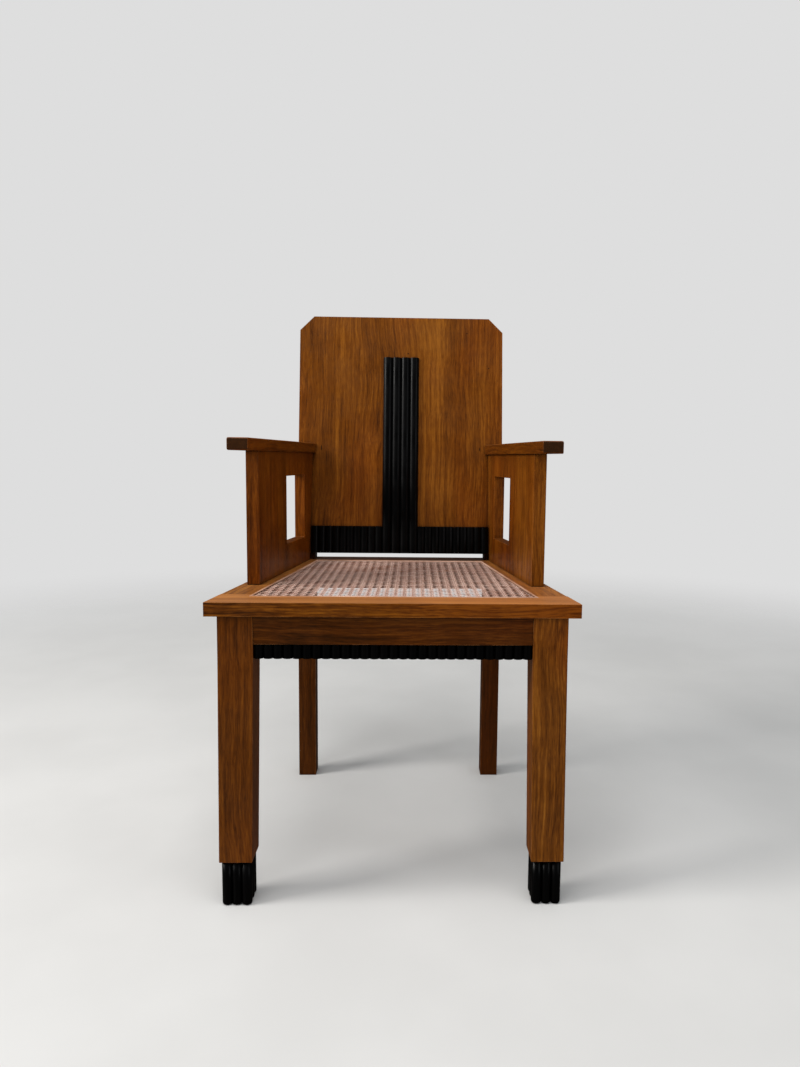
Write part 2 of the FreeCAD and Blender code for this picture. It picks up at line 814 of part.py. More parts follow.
# Arms: an upright board with a window, trimmed to the leaning back, and a flat rest on top
overrun = "back_front + (arm_height + 2 * rest_thick) * lean"
for index, (name, side) in enumerate(SIDES):
    trim = box("arm_trim_" + name, "4 * post_half_out", "arm_board * 6", "2 * arm_height",
               lean_frame.multiply(FreeCAD.Placement(
                   FreeCAD.Vector(0, val("arm_board") * 3, -val("arm_height") / 2),
                   FreeCAD.Rotation())))
    back_in = "arm_half_in - slope * (" + overrun + " - arm_setback)"
    corners = sided(
        [
            ("arm_half_in", "arm_setback"),
            ("arm_half_in + arm_width", "arm_setback"),
            (back_in + " + arm_width", overrun),
            (back_in, overrun),
        ],
        side,
    )
    label = "arm_panel_" + name
    body = plan_body(label, corners, "seat_height", "arm_height")
    middle = val("back_front") - val("window_rear") - val("window_length") / 2
    window = box("arm_window_" + name, "arm_board * 3", "window_length", "window_height",
                 placed(side * arm_mid(middle), middle,
                        val("seat_height") + val("window_sill"),
                        degrees=side * val("plan_taper")))
    two = [2 * index, 2 * index + 1]
    tools = [window, trim]
    for family in ("arm_foot_tenons", "armrest_tenons", "arm_back_tenons"):
        tools += mortises(family, two)
    nodes.append(cut(body, tools, label))
    over = "rest_overhang / cos(plan_taper)"
    rest_front = "arm_setback - rest_reach"
    rest_in = "arm_half_in + slope * rest_reach - " + over
    rest_back_in = back_in + " - " + over
    rest_wide = "arm_width + 2 * " + over
    corners = sided(
        [
            (rest_in, rest_front),
            (rest_in + " + " + rest_wide, rest_front),
            (rest_back_in + " + " + rest_wide, overrun),
            (rest_back_in, overrun),
        ],
        side,
    )
    label = "armrest_" + name
    body = plan_body(label, corners, "arm_top", "rest_thick")
    nodes.append(cut(body, [trim] + mortises("armrest_tenons", two), label))

# Back board with its two top corners cut off, screwed to the rear legs from behind
board = new_body("back_panel", in_chair_frame=False)
front_view = outline(
    sketch(board, "back_panel_front", "XZ_Plane"),
    [
        ("-post_half_out", "board_foot"),
        ("post_half_out", "board_foot"),
        ("post_half_out", "board_head - back_chamfer"),
        ("post_half_out - back_chamfer", "board_head"),
        ("back_chamfer - post_half_out", "board_head"),
        ("-post_half_out", "board_head - back_chamfer"),
    ],
)
pad(board, "back_panel_pad", front_view, "back_board", flip=True)
board.Placement = lean_frame
tools = mortises("arm_back_tenons", range(4)) + screw_holes("back_screws")
nodes.append(cut(board, tools, "back_panel"))

# Ebonised reeding on the back board: a tall centre strip and a low band on each side
strip_half = val("strip_half")
reeded_strip("back_centre_strip", -strip_half, int(val("strip_reeds")), val("strip_pitch"),
             val("strip_base"), val("strip_rise"), "board_foot",
             "(strip_top - seat_height) / cos(recline) - board_foot", lean_frame)
band_long = val("band_reeds") * val("band_pitch")
for name, side in SIDES:
    start = strip_half if side > 0 else -strip_half - band_long
    reeded_strip("back_band_" + name, start, int(val("band_reeds")), val("band_pitch"),
                 val("band_base"), val("band_rise"), "board_foot", "band_height", lean_frame)

for family in slips:
    nodes.append(slip_group(family))
for family in screws:
    nodes.append(screw_group(family))

doc.recompute()
broken = [o.Name for o in doc.Objects if "Invalid" in o.State or "Error" in o.State]
if broken:
    raise RuntimeError("failed: " + ", ".join(broken))
for node in nodes:
    if node.Shape.isNull() or not node.Shape.isValid() or not node.Shape.Solids:
        raise RuntimeError("bad shape: " + node.Label)

os.makedirs("parts", exist_ok=True)
for node in nodes:
    node.Shape.exportStep("parts/" + node.Label + ".step")
    print("%-26s solids %2d volume %9.0f" % (node.Label, len(node.Shape.Solids), node.Shape.Volume))
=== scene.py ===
"""Looks of an armchair with a caned seat and ebonised reeding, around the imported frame.

Metres, Z up, front along -Y."""

import math

import bpy
import numpy as np
from mathutils import Matrix, Vector


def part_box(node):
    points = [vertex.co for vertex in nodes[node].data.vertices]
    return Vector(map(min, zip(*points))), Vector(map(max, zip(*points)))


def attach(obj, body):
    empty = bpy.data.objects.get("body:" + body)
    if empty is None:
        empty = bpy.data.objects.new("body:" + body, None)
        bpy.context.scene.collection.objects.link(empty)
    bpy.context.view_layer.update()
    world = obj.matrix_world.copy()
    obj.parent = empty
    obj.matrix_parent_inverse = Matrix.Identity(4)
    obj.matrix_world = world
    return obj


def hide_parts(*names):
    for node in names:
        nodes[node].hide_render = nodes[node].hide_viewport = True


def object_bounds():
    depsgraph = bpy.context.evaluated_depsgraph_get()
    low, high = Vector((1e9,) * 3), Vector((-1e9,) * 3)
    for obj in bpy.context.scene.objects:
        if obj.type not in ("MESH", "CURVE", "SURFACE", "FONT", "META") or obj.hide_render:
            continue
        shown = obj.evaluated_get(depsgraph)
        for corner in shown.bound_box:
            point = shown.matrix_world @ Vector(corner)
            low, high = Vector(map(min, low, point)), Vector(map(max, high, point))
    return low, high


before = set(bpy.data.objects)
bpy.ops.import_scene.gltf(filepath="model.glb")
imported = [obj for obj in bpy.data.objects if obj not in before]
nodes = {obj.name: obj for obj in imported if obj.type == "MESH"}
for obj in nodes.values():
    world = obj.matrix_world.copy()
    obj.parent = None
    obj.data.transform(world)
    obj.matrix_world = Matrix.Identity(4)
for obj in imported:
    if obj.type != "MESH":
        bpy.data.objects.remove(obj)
first_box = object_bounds()
front = first_box[0].y

X, Y, Z = 0, 1, 2
# Degrees: the back's lean, and how far the seat boards and the side aprons close in towards the rear
RECLINE, PLAN_TAPER, APRON_TAPER = 8, 7, 6


def linear(r, g, b):
    """A colour given as 0..255 on screen, as the linear values that a shader takes."""
    return tuple(
        c / 12.92 if c <= 0.04045 else ((c + 0.055) / 1.055) ** 2.4
        for c in (r / 255, g / 255, b / 255)
    ) + (1.0,)


class Paint:
    """A material with one Principled shader, whose parts are linked by short calls."""

    def __init__(self, name):
        self.origin = None
        self.material = bpy.data.materials.new(name)
        self.material.use_nodes = True
        self.tree = self.material.node_tree
        self.tree.nodes.clear()
        self.shader = self.node("BsdfPrincipled")
        self.out = self.node("OutputMaterial", {"Surface": self.shader.outputs[0]})

    def node(self, kind, sockets=None, **settings):
        """A shader node with its settings, and with a value or a link on each named socket."""
        made = self.tree.nodes.new("ShaderNode" + kind)
        for key, value in settings.items():
            setattr(made, key, value)
        for socket, value in (sockets or {}).items():
            self.put(made.inputs[socket], value)
        return made

    def put(self, socket, value):
        if isinstance(value, bpy.types.NodeSocket):
            self.tree.links.new(value, socket)
        else:
            socket.default_value = value

    def set(self, **values):
        for key, value in values.items():
            self.put(self.shader.inputs[key.replace("_", " ")], value)

    def follow(self, lean, sway, scale):
        """From here on places follow a board that leans, by an axis and an angle, and sway a little."""
        where = self.node("TexCoord").outputs["Object"]
        if lean:
            axis, angle = lean
            upright = {"Vector": where, "Angle": math.radians(angle)}
            where = self.node("VectorRotate", upright, rotation_type=axis + "_AXIS").outputs[0]
        drift = self.node("TexNoise", {"Vector": where, "Scale": scale, "Detail": 1.0})
        bend = {0: drift.outputs[1], 1: (sway, sway, sway), 2: where}
        self.origin = self.node("VectorMath", bend, operation="MULTIPLY_ADD").outputs[0]

    def place(self, stretch=(1, 1, 1), shift=(0, 0, 0), turn=(0, 0, 0), source=None):
        """Where a point lies on the board that is followed, or in the coordinates named as the source."""
        if source or self.origin is None:
            where = self.node("TexCoord").outputs[source or "Object"]
        else:
            where = self.origin
        mapping = {"Vector": where, "Scale": stretch, "Location": shift, "Rotation": turn}
        return self.node("Mapping", mapping).outputs[0]

    def noise(self, where, scale, detail=3.0, rough=0.5, warp=0.0):
        look = {"Scale": scale, "Detail": detail, "Roughness": rough, "Distortion": warp}
        return self.node("TexNoise", {"Vector": where, **look}).outputs[0]

    def ease(self, value, low, high, to_low=0.0, to_high=1.0):
        """Runs softly from one end to the other while the value goes from low to high."""
        ends = dict(enumerate((value, low, high, to_low, to_high)))
        return self.node("MapRange", ends, interpolation_type="SMOOTHSTEP").outputs[0]

    def sum(self, operation, a, b=0.0, clamp=False):
        return self.node("Math", {0: a, 1: b}, operation=operation, use_clamp=clamp).outputs[0]

    def times(self, a, b):
        return self.sum("MULTIPLY", a, b)

    def mix(self, share, a, b, blend="MIX"):
        """Colour a with a share of colour b over it."""
        return self.node("Mix", {0: share, 6: a, 7: b}, data_type="RGBA", blend_type=blend).outputs[2]

    def ramp(self, value, stops):
        """The colour at a value, between stops given as (value, colour)."""
        n = self.node("ValToRGB", {0: value})
        ends = n.color_ramp.elements
        while len(ends) < len(stops):
            ends.new(0.5)
        for end, (spot, colour) in zip(ends, stops):
            end.position = spot
            end.color = colour
        return n.outputs[0]

    def bump(self, height, depth, strength=1.0, under=None):
        sockets = {"Height": height, "Distance": depth, "Strength": strength}
        if under is not None:
            sockets["Normal"] = under
        return self.node("Bump", sockets).outputs[0]

    def edges(self, radius):
        """1 along edges and corners, 0 on flats."""
        rounded = self.node("Bevel", {"Radius": radius}, samples=4)
        flat = self.node("NewGeometry").outputs["Normal"]
        dot = self.node("VectorMath", {0: rounded.outputs[0], 1: flat}, operation="DOT_PRODUCT")
        return self.ease(dot.outputs["Value"], 0.995, 0.86)

    def corners(self, reach):
        """Mask for painted shade, from ambient occlusion: 1 deep in a corner between two pieces, 0 in the
        open.
        """
        n = self.node("AmbientOcclusion", {"Distance": reach}, samples=6)
        return self.ease(n.outputs["AO"], 0.75, 0.25)

    def normal(self, axis):
        parts = self.node("SeparateXYZ", {0: self.node("NewGeometry").outputs["Normal"]})
        return parts.outputs[axis]

    def facing(self, axis):
        """1 where a face looks along the given axis, either way."""
        return self.ease(self.sum("ABSOLUTE", self.normal(axis)), 0.8, 0.93)


# Layers of a board's figure: stretch along and across the grain, scale, detail, roughness, distortion
LAYERS = {
    "streaks": (0.02, 1.0, 170.0, 3.0, 0.55, 0.1),
    "fibres": (0.012, 1.0, 430.0, 2.0, 0.5, 0.0),
    "flecks": (0.09, 1.0, 620.0, 3.0, 0.6, 0.0),
    "bands": (0.05, 1.0, 24.0, 2.0, 0.5, 0.3),
    "mottle": (0.45, 1.0, 9.0, 3.0, 0.55, 0.6),
    "flame": (1.0, 0.3, 60.0, 2.0, 0.5, 0.6),
    "pores": (0.05, 1.0, 1100.0, 2.0, 0.5, 0.0),
    "drift": (0.35, 1.0, 4.5, 2.0, 0.5, 0.4),
    "waves": (0.4, 1.0, 26.0, 2.0, 0.5, 0.0),
}
# How much each of them, and the growth rings, count in the tone, which lies round MIDDLE_TONE
WEIGHTS = {"streaks": 0.52, "fibres": 0.46, "flecks": 0.5, "bands": 0.4, "mottle": 0.42, "flame": 0.08}
RING_WEIGHT = 0.05
MIDDLE_TONE = 0.53
TONES_AT = (0.2, 0.52, 0.84)
SWAY, SWAY_SCALE = 0.022, 6.0

REDDISH = linear(255, 206, 150)
PORE = linear(34, 15, 4)
SPECK = linear(26, 11, 4)
# Painted shade in small holes and dents
HOLE_SHADE = linear(18, 8, 4)
END_GRAIN = linear(38, 19, 7)
# Painted light on what looks up, also standing for fading
TOP_LIGHT_AND_FADE = linear(178, 118, 72)
WORN_WOOD = linear(170, 112, 62)
# Painted shade in corners and between pieces, also standing for grime
GRIME_AND_SHADE = linear(20, 8, 3)
WORN_WIDTH = 0.0016
GRIME_AND_SHADE_REACH = 0.014


class Wood(Paint):
    """The figure of one board, with its grain along an axis and its own cut, given by the seed."""

    def __init__(self, name, grain, seed, lean):
        super().__init__(name)
        self.grain, self.seed = grain, seed
        self.shift = (0.31 * seed, 0.17 * seed, 0.23 * seed)
        self.layers = {}
        self.follow(lean, SWAY, SWAY_SCALE)

    def stretch(self, along, across):
        return tuple(along if i == self.grain else across for i in range(3))

    def layer(self, name):
        """One of LAYERS, made when it is first asked for."""
        if name not in self.layers:
            along, across, *look = LAYERS[name]
            self.layers[name] = self.noise(self.place(self.stretch(along, across), self.shift), *look)
        return self.layers[name]

    def cloud(self, scale, detail=3.0, rough=0.5):
        """Noise that doesn't follow the grain."""
        return self.noise(self.place(shift=self.shift), scale, detail, rough)

    def rings(self):
        """1 in the late wood of the growth rings."""
        tilt = tuple(0.0 if i == self.grain else 0.3 + 0.1 * math.sin(self.seed) for i in range(3))
        away = tuple(0.09 + 0.03 * math.sin(self.seed + i) for i in range(3))
        where = self.place(self.stretch(0.07, 1.0), away, tilt)
        wave = self.node(
            "TexWave",
            {"Vector": where, "Scale": 44.0, "Distortion": 2.6, "Detail": 3.0, "Detail Scale": 2.0},
            wave_type="RINGS",
            rings_direction="XYZ"[self.grain],
            wave_profile="SIN",
        )
        return self.ease(wave.outputs["Fac"], 0.55, 1.0)

    def figure(self, tones, strength):
        """The colour of the clean board, between its three tones, reddish in places."""
        tone = 0.0
        for name, weight in WEIGHTS.items():
            centred = self.sum("SUBTRACT", self.layer(name), 0.5)
            tone = self.sum("ADD", tone, self.times(centred, weight))
        tone = self.sum("SUBTRACT", tone, self.times(self.rings(), RING_WEIGHT))
        tone = self.sum("ADD", self.times(tone, strength), MIDDLE_TONE)
        colour = self.ramp(tone, list(zip(TONES_AT, tones)))
        reddish = self.mix(1.0, colour, REDDISH, "MULTIPLY")
        return self.mix(self.ease(self.layer("drift"), 0.42, 0.66, 0.0, 0.55), colour, reddish)

    def specks(self):
        """1 on scattered dark specks, which come in groups."""
        where = self.place(self.stretch(0.4, 1.0), self.shift)
        spots = self.node("TexVoronoi", {"Vector": where, "Scale": 26.0}, feature="F1")
        near = self.ease(spots.outputs["Distance"], 0.06, 0.02)
        return self.times(near, self.ease(self.cloud(19.0), 0.5, 0.58))

    def hole_shade(self, x, z, wide, high):
        """Painted shade of a small hole or dent in an upright face, as a dark spot, from its middle and its
        half sizes.
        """
        where = self.place((1 / wide, 0.0, 1 / high), (-x / wide, 0.0, -z / high), source="Object")
        away = self.node("VectorMath", {0: where}, operation="LENGTH").outputs["Value"]
        return self.ease(away, 1.15, 0.7, 0.0, 0.85)

    def top_light_and_fade_mask(self, strength):
        """Painted light on what looks up, also standing for fading by the sun, more in some bands of the
        grain than in others.
        """
        upward = self.times(self.ease(self.normal(Z), 0.7, 0.95), strength)
        return self.times(upward, self.ease(self.layer("bands"), 0.3, 0.65, 0.6, 1.0))


def polished_wood(name, grain, seed, tones, strength, lean=None, top_light_and_fade=0.0, end_tone=0.45, marks=()):
    """Old polished hardwood: figure, pores, specks, worn edges, painted shade in dents and in corners (the
    latter also standing for grime), and painted light on the tops.

    strength is that of the figure; top_light_and_fade lightens what looks up, as painted light that also
    stands for fading; end_tone darkens the end grain;
    marks are small holes and dents, painted as dark spots of shade, as (x, z, half width, half height) on
    an upright face."""
    p = Wood(name, grain, seed, lean)
    pores = p.ease(p.layer("pores"), 0.6, 0.72)
    ends = p.facing(grain)
    patches = p.ease(p.cloud(34.0, 4.0, 0.6), 0.42, 0.66)
    worn = p.times(p.edges(WORN_WIDTH), p.ease(patches, 0.0, 1.0, 0.12, 0.7))

    colour = p.figure(tones, strength)
    colour = p.mix(p.times(pores, 0.35), colour, PORE)
    colour = p.mix(p.times(p.specks(), 0.8), colour, SPECK)
    # Painted shade: small holes and dents darkened as dark spots
    for mark in marks:
        colour = p.mix(p.hole_shade(*mark), colour, HOLE_SHADE)
    colour = p.mix(p.times(ends, end_tone), colour, END_GRAIN)
    # Painted light: what looks up is lightened, also standing for fading
    if top_light_and_fade:
        colour = p.mix(p.top_light_and_fade_mask(top_light_and_fade), colour, p.mix(1.0, colour, TOP_LIGHT_AND_FADE, "SCREEN"))
    colour = p.mix(worn, colour, WORN_WOOD)
    # Painted shade: darker in corners and between pieces, from ambient occlusion, also standing for grime
    colour = p.mix(p.times(p.corners(GRIME_AND_SHADE_REACH), 0.75), colour, GRIME_AND_SHADE)

    rough = p.ease(p.cloud(16.0), 0.3, 0.75, 0.34, 0.5)
    rough = p.sum("ADD", rough, p.times(p.sum("ADD", ends, worn), 0.18), clamp=True)
    relief = p.sum("SUBTRACT", p.times(p.layer("fibres"), 0.5), pores)
    waves = p.bump(p.layer("waves"), 0.0008, 0.5)
    p.set(
        Base_Color=colour,
        Roughness=rough,
        Normal=p.bump(relief, 0.00014, 0.7, waves),
        Specular_IOR_Level=0.2,
        Specular_Tint=(1.0, 0.72, 0.42, 1.0),
        Coat_Weight=0.12,
        Coat_Roughness=p.ease(patches, 0.0, 1.0, 0.08, 0.16),
        Coat_Normal=waves,
    )
    return p.material


def ebonised(name):
    """Black stained wood under polish: faint lengthways strokes, dull clouds, brown at the worn ends."""
    p = Paint(name)
    strokes = p.noise(p.place((1, 1, 0.04)), 520.0, 3.0, 0.6)
    cloud = p.noise(p.place(), 22.0)
    worn = p.times(p.edges(0.0008), p.ease(p.noise(p.place(), 60.0), 0.52, 0.7))
    colour = p.mix(p.ease(strokes, 0.3, 0.8), linear(1, 1, 1), linear(3, 3, 4))
    colour = p.mix(p.times(worn, 0.35), colour, linear(64, 44, 32))
    p.set(
        Base_Color=colour,
        Roughness=p.ease(cloud, 0.3, 0.7, 0.3, 0.42),
        Normal=p.bump(strokes, 0.00003, 0.4),
        Specular_IOR_Level=0.14,
        Coat_Weight=0.02,
        Coat_Roughness=0.16,
    )
    return p.material


def cane(name):
    """Split cane: glossy skin, long fibres, painted light on each strand's top and painted shade on its
    edges, underside and joints, and each strand a little different.
    """
    p = Paint(name)
    strand = p.node("Attribute", attribute_name="strand").outputs["Fac"]
    crown = p.node("Attribute", attribute_name="crown").outputs["Fac"]
    fibres = p.noise(p.place((9.0, 14.0, 1.0), source="UV"), 1.0, 3.0, 0.6)
    cloud = p.noise(p.place(), 60.0, 2.0)
    skin = p.mix(p.ease(strand, 0.0, 1.0), linear(180, 136, 120), linear(232, 198, 182))
    skin = p.mix(p.ease(fibres, 0.45, 0.8, 0.0, 0.4), skin, linear(166, 120, 98))
    skin = p.mix(p.ease(cloud, 0.5, 0.75, 0.0, 0.35), skin, linear(160, 112, 90))
    # Painted light and shade across each strand: the crown lit, the edges and underside shaded
    colour = p.mix(p.ease(crown, 0.0, 0.5), linear(78, 44, 30), skin)
    # Painted shade where strands cross and meet the frame, from ambient occlusion
    colour = p.mix(p.times(p.corners(0.004), 0.9), colour, linear(44, 22, 14))
    p.set(
        Base_Color=colour,
        Roughness=p.ease(cloud, 0.3, 0.7, 0.34, 0.5),
        Normal=p.bump(fibres, 0.00008, 0.6),
        Specular_IOR_Level=0.3,
    )
    return p.material


def reed_spline(name):
    """The reed that holds the cane: a matt skin with short fibres."""
    p = Paint(name)
    fibres = p.noise(p.place(), 240.0, 4.0, 0.6)
    cloud = p.noise(p.place(), 14.0)
    colour = p.mix(p.ease(cloud, 0.3, 0.7), linear(172, 126, 100), linear(214, 172, 148))
    colour = p.mix(p.ease(fibres, 0.5, 0.8, 0.0, 0.5), colour, linear(124, 82, 58))
    p.set(Base_Color=colour, Roughness=0.42, Normal=p.bump(fibres, 0.0001, 0.5))
    return p.material


def beech(name):
    """Bare pale wood of the loose tenons."""
    p = Paint(name)
    fibres = p.noise(p.place(), 380.0, 3.0, 0.6)
    colour = p.mix(p.ease(fibres, 0.3, 0.7), linear(176, 132, 90), linear(206, 168, 124))
    p.set(Base_Color=colour, Roughness=0.6, Normal=p.bump(fibres, 0.0001, 0.4))
    return p.material


def old_steel(name):
    """Steel screws with rust in spots."""
    p = Paint(name)
    rust = p.ease(p.noise(p.place(), 420.0, 4.0, 0.65), 0.52, 0.7)
    p.set(
        Base_Color=p.mix(rust, linear(132, 128, 122), linear(92, 58, 38)),
        Metallic=p.ease(rust, 0.0, 1.0, 0.95, 0.3),
        Roughness=p.ease(rust, 0.0, 1.0, 0.34, 0.75),
        Normal=p.bump(p.noise(p.place(), 900.0), 0.00005, 0.6),
    )
    return p.material


def finish_node(name, material, rounding=0.0):
    """Gives a frame node its finish, and softens its sharp edges by a small real rounding."""
    piece = nodes[name]
    for slot in piece.material_slots:
        slot.material = material
    if rounding:
        weld = piece.modifiers.new("weld", "WELD")
        weld.merge_threshold = 0.00002
        plain = piece.modifiers.new("plain", "DECIMATE")
        plain.decimate_type = "DISSOLVE"
        plain.angle_limit = math.radians(0.4)
        soft = piece.modifiers.new("soft", "BEVEL")
        soft.width = rounding
        soft.segments = 3
        soft.limit_method = "ANGLE"
        soft.angle_limit = math.radians(40)
        normals = piece.modifiers.new("normals", "WEIGHTED_NORMAL")
        normals.weight = 60


# Dark, middle and light tone of a board
GOLD = (linear(68, 31, 3), linear(108, 57, 8), linear(142, 84, 20))
WARM = (linear(76, 36, 4), linear(118, 65, 12), linear(154, 96, 28))
DEEP = (linear(46, 19, 1), linear(75, 34, 3), linear(101, 53, 8))
BROWN = (linear(62, 27, 2), linear(98, 49, 5), linear(130, 73, 12))
# Node, axis of the grain, seed of its cut, tones, strength of the figure, rounding of the edges
BOARDS = [
    ("front_leg_left", Z, 1, BROWN, 1.15, 0.0014),
    ("front_leg_right", Z, 22, WARM, 1.3, 0.0014),
    ("rear_leg_left", Z, 3, DEEP, 1.3, 0.0012),
    ("rear_leg_right", Z, 4, DEEP, 1.0, 0.0012),
    ("front_apron", X, 5, DEEP, 1.5, 0.0008),
    ("rear_apron", X, 6, DEEP, 1.5, 0.0008),
    ("side_apron_left", Y, 7, GOLD, 1.5, 0.0008),
    ("side_apron_right", Y, 8, GOLD, 1.5, 0.0008),
    ("seat_front_rail", X, 9, BROWN, 2.0, 0.0018),
    ("seat_rear_rail", X, 10, GOLD, 1.6, 0.001),
    ("seat_side_rail_left", Y, 11, WARM, 2.0, 0.0018),
    ("seat_side_rail_right", Y, 12, WARM, 2.0, 0.0018),
    ("corner_block_front_left", X, 13, DEEP, 1.4, 0.001),
    ("corner_block_front_right", X, 14, DEEP, 1.4, 0.001),
    ("corner_block_rear_left", X, 15, DEEP, 1.4, 0.001),
    ("corner_block_rear_right", X, 16, DEEP, 1.4, 0.001),
    ("arm_panel_left", Z, 27, GOLD, 1.3, 0.0014),
    ("arm_panel_right", Z, 18, GOLD, 1.5, 0.0014),
    ("armrest_left", Y, 19, BROWN, 1.3, 0.0026),
    ("armrest_right", Y, 20, BROWN, 1.3, 0.0026),
    ("back_panel", Z, 21, GOLD, 1.2, 0.0016),
]
# What only some boards have: a lean, painted light on the tops that also stands for fading, darker end
# grain, dents painted as dark spots of shade
EXTRAS = {
    "back_panel": {
        "lean": ("X", RECLINE),
        "marks": (
            (-0.1585, 0.672, 0.0011, 0.006),
            (0.1585, 0.672, 0.0011, 0.004),
            (0.0135, 0.8625, 0.0016, 0.0016),
            (0.132, 0.905, 0.0013, 0.0013),
            (0.176, 0.835, 0.0012, 0.0016),
        ),
    },
    "armrest_left": {"lean": ("Z", PLAN_TAPER), "top_light_and_fade": 0.3, "end_tone": 0.85},
    "armrest_right": {"lean": ("Z", -PLAN_TAPER), "top_light_and_fade": 0.3, "end_tone": 0.85},
    "seat_front_rail": {"top_light_and_fade": 0.7},
    "seat_rear_rail": {"top_light_and_fade": 0.3},
    "seat_side_rail_left": {"lean": ("Z", PLAN_TAPER), "top_light_and_fade": 0.4},
    "seat_side_rail_right": {"lean": ("Z", -PLAN_TAPER), "top_light_and_fade": 0.4},
    "side_apron_left": {"lean": ("Z", APRON_TAPER)},
    "side_apron_right": {"lean": ("Z", -APRON_TAPER)},
}
EBONISED_NODES = [
    "front_foot_left",
    "front_foot_right",
    "apron_reeding",
    "back_centre_strip",
    "back_band_left",
    "back_band_right",
]
SPLINE_ROUNDING = 0.001

for name, grain, seed, tones, strength, rounding in BOARDS:
    look = polished_wood("wood_" + name, grain, seed, tones, strength, **EXTRAS.get(name, {}))
    finish_node(name, look, rounding)

black = ebonised("ebonised_reeds")
for name in EBONISED_NODES:
    finish_node(name, black)
finish_node("cane_splines", reed_spline("spline_reed"), SPLINE_ROUNDING)
tenon_look = beech("tenon_wood")
for name in nodes:
    if name.endswith("_tenons"):
        finish_node(name, tenon_look)
steel_look = old_steel("screw_steel_old")
for name in ("seat_screws", "back_screws"):
    finish_node(name, steel_look)


def add_piece(mesh, material):
    """An object of its own for a mesh, in the scene and under the mesh's name."""
    mesh.materials.append(material)
    piece = bpy.data.objects.new(mesh.name, mesh)
    bpy.context.scene.collection.objects.link(piece)
    return piece


# Cane: pitch of the pairs, half the distance within a pair, and how far a strand strays from its place
PITCH, PAIR, WOBBLE = 0.0137, 0.00125, 0.00012
# A strand's width, that of a slanting one, its thickness, and how high a slanting one hops
STRAND = 0.0019
SLANT_STRAND = 0.92 * STRAND
THICK = 0.00042
HOP = 0.95 * THICK
# Painted light and shade at the four points of a strand's section, lit on top and shaded at the edges and
# below, for the material; and its scale lengthways
SECTION_LIGHT = [0.35, 1.0, 0.35, 0.0]
LENGTH_SCALE = 20
SAG = 0.002
# Pairs to each side of the seat's middle, enough to pass its edges, where clip_line cuts them off
PAIRS = 20
# Strands end this far inside the sheet's edge, and their middles lie this far below its top
TUCK, SUNK = 0.0015, 0.0007
# The shortest strand, the least gap from its end to a step, and how near a step lies to what it crosses
SHORTEST, LEAST_STEP, NEAR_STEP = 0.006, 0.0004, 0.0005
sheet_low, sheet_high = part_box("cane_panel")
near, far = sheet_low.y + TUCK, sheet_high.y - TUCK
half_near = sheet_high.x - TUCK
middle_y, middle_z = (near + far) / 2, sheet_high.z - SUNK
TAPER = math.tan(math.radians(PLAN_TAPER))


def sag(x, y):
    """How far the seat lies below its edge at a place."""
    u = np.clip(np.abs(x) / (half_near - TAPER * (y - near)), 0, 1)
    v = np.clip((y - near) / (far - near) * 2 - 1, -1, 1)
    return -SAG * (1 - u**2) * (1 - v**2)


def clip_line(point, way):
    """The stretch (t0, t1) of the line point + t * way that lies on the tapering seat opening, or None."""
    t0, t1 = -1.0, 1.0
    for normal, limit in (
        ((0, -1), -near),
        ((0, 1), far),
        ((1, TAPER), half_near + TAPER * near),
        ((-1, TAPER), half_near + TAPER * near),
    ):
        speed = way[0] * normal[0] + way[1] * normal[1]
        room = limit - (point[0] * normal[0] + point[1] * normal[1])
        if abs(speed) < 1e-9:
            if room < 0:
                return None
        elif speed > 0:
            t1 = min(t1, room / speed)
        else:
            t0 = max(t0, room / speed)
    return (t0, t1) if t1 - t0 > SHORTEST else None


def over_pair(offset, side):
    """Height of a strand where it crosses a pair: over one of the two strands and under the other."""
    from_pair = offset - np.round(offset / PITCH) * PITCH
    crosses = np.abs(np.abs(from_pair) - PAIR) < NEAR_STEP
    return np.where(crosses, side * np.sign(from_pair) * THICK * 0.5, 0.0)


